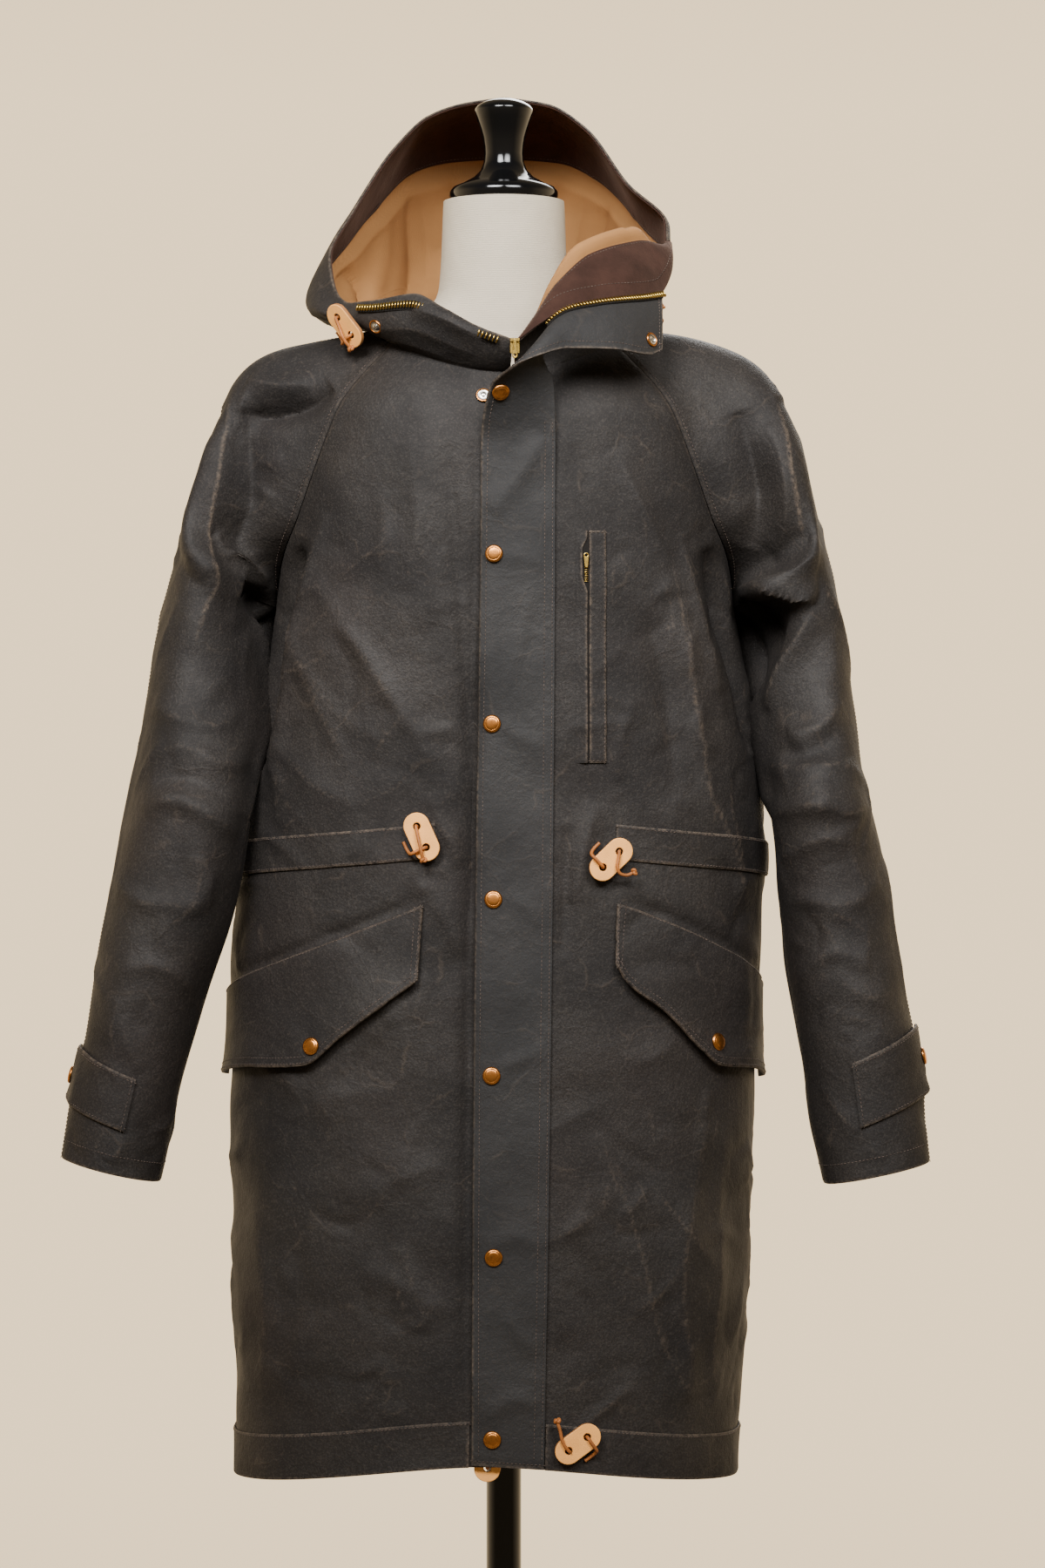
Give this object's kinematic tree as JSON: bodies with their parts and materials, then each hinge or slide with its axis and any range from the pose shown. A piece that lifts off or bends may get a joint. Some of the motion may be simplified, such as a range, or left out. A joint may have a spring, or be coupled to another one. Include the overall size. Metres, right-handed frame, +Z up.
{
  "type": "waxed parka on a dress form",
  "caption": "Hooded knee-length waxed cotton parka, collar unzipped and turned back, worn hollow by a limbless dress form on a pole with a round base.",
  "frame": {"origin": "on the floor under the middle of the round base, on the pole's axis", "axes": "+Z up; -Y is the front of the coat; +X is the wearer's left"},
  "size_m": [0.7325, 0.3885, 1.6799],
  "materials": {
    "waxed_cotton": "dark waxed cotton, low sheen",
    "moleskin_facing": "brown brushed cotton",
    "cotton_lining": "tan cotton",
    "antique_copper": "burnished copper",
    "zip_brass": "bright brass",
    "nickel_stud": "bright nickel",
    "tan_leather": "pale vegetable-tanned leather",
    "leather_cord": "tan leather cord",
    "zip_tape": "black woven tape",
    "form_linen": "plain ecru linen",
    "black_lacquer": "gloss black"
  },
  "bodies": {
    "coat_on_form": {"front_left": "waxed_cotton", "front_right": "waxed_cotton", "back": "waxed_cotton", "sleeve_left_front": "waxed_cotton", "sleeve_left_back": "waxed_cotton", "sleeve_right_front": "waxed_cotton", "sleeve_right_back": "waxed_cotton", "hood_left": "waxed_cotton", "hood_right": "waxed_cotton", "hood_facing": "moleskin_facing", "hood_lining": "cotton_lining", "storm_fly": "waxed_cotton", "zip_closed": "zip_tape", "zip_collar_left": "zip_tape", "zip_collar_right": "zip_tape", "zip_slider": "zip_brass", "casing_left": "waxed_cotton", "casing_right": "waxed_cotton", "casing_back": "waxed_cotton", "hem_left": "waxed_cotton", "hem_right": "waxed_cotton", "hem_back": "waxed_cotton", "flap_left": "waxed_cotton", "flap_right": "waxed_cotton", "chest_welt": "waxed_cotton", "chest_zip": "zip_tape", "chest_slider": "zip_brass", "cuff_tab_left": "waxed_cotton", "cuff_tab_right": "waxed_cotton", "fly_snap_1": "antique_copper", "fly_snap_2": "antique_copper", "fly_snap_3": "antique_copper", "fly_snap_4": "antique_copper", "fly_snap_5": "antique_copper", "fly_snap_6": "antique_copper", "fly_snap_7": "antique_copper", "flap_snap_left": "antique_copper", "flap_snap_right": "antique_copper", "cuff_snap_left": "antique_copper", "cuff_snap_right": "antique_copper", "lapel_socket": "nickel_stud", "collar_stud": "nickel_stud", "neck_stud": "nickel_stud", "waist_left_toggle": "tan_leather", "waist_left_cord": "leather_cord", "waist_right_toggle": "tan_leather", "waist_right_cord": "leather_cord", "hem_left_toggle": "tan_leather", "hem_left_cord": "leather_cord", "hem_right_toggle": "tan_leather", "hem_right_cord": "leather_cord", "hood_left_toggle": "tan_leather", "hood_left_cord": "leather_cord", "hood_right_toggle": "tan_leather", "hood_right_cord": "leather_cord", "form_torso": "form_linen", "form_cap": "black_lacquer", "form_pole": "black_lacquer", "form_base": "black_lacquer"},
    "pull_tab": {"zip_pull": "zip_brass"}
  },
  "joints": [
    {"name": "zip_pull_swing", "type": "hinge", "parent": "coat_on_form", "child": "pull_tab", "pos_m": [0.0098, -0.1423, 1.441], "axis": [-1, 0, 0], "range_deg": [0, 150]}
  ]
}
